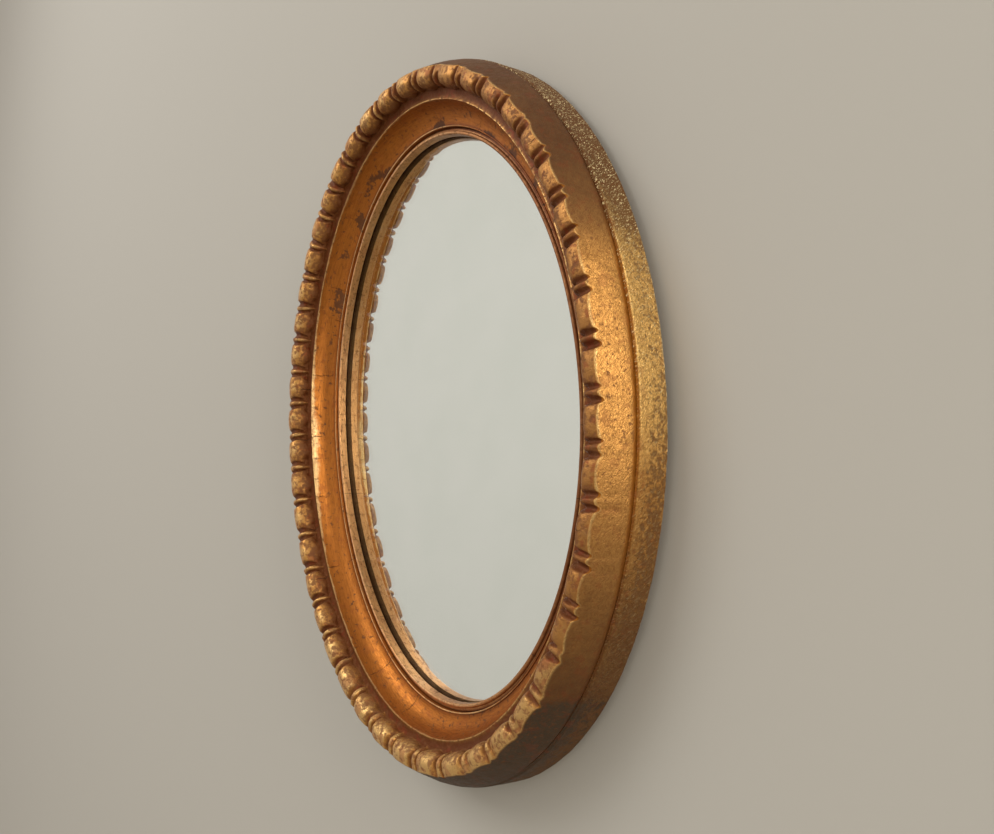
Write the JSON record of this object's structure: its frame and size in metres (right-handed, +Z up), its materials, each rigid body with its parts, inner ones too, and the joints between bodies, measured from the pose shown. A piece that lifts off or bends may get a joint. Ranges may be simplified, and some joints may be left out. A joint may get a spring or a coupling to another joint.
{
  "type": "oval wall mirror",
  "caption": "Oval wall mirror: flat silvered glass in a gilded wooden frame with a carved bead-and-reel rim, a board behind it and a swinging ring to hang it by.",
  "frame": {"origin": "centre of the oval on the plane of the frame's back face", "axes": "+Z up with the long axis of the oval, -Y out of the mirror's face into the room, +Y into the wall"},
  "size_m": [0.23, 0.0296, 0.3],
  "materials": {
    "carved_gilding": "water gilding over red bole, burnished and rubbed through on the high places",
    "washed_wood": "bare softwood with a thin brown wash",
    "rough_gilding": "rough gilding on the side of the rear layer, stippled and worn to dark bole",
    "slip_gilding": "gilded, satin",
    "mirror_silver": "polished, silvered at the back",
    "brown_board": "matt grey-brown fibreboard",
    "cut_steel": "dull, blued",
    "brass": "satin, tarnished"
  },
  "bodies": {
    "frame": {"rear_ring_top": "washed_wood", "rear_ring_left": "washed_wood", "rear_ring_bottom": "washed_wood", "rear_ring_right": "washed_wood", "carved_ring_upper_left": "carved_gilding", "carved_ring_lower_left": "carved_gilding", "carved_ring_lower_right": "carved_gilding", "carved_ring_upper_right": "carved_gilding", "sight_slip": "slip_gilding", "mirror_glass": "mirror_silver", "backing_board": "brown_board", "sprig_1": "cut_steel", "sprig_2": "cut_steel", "sprig_3": "cut_steel", "sprig_4": "cut_steel", "sprig_5": "cut_steel", "sprig_6": "cut_steel", "sprig_7": "cut_steel", "sprig_8": "cut_steel", "hanger_plate": "brass", "hanger_screw_left": "brass", "hanger_screw_right": "brass"},
    "ring": {"hanging_ring": "brass"}
  },
  "joints": [
    {"name": "ring_swing", "type": "hinge", "parent": "frame", "child": "ring", "pos_m": [0, 0.0013, 0.139], "axis": [1, 0, 0], "range_deg": [0, 178]}
  ]
}
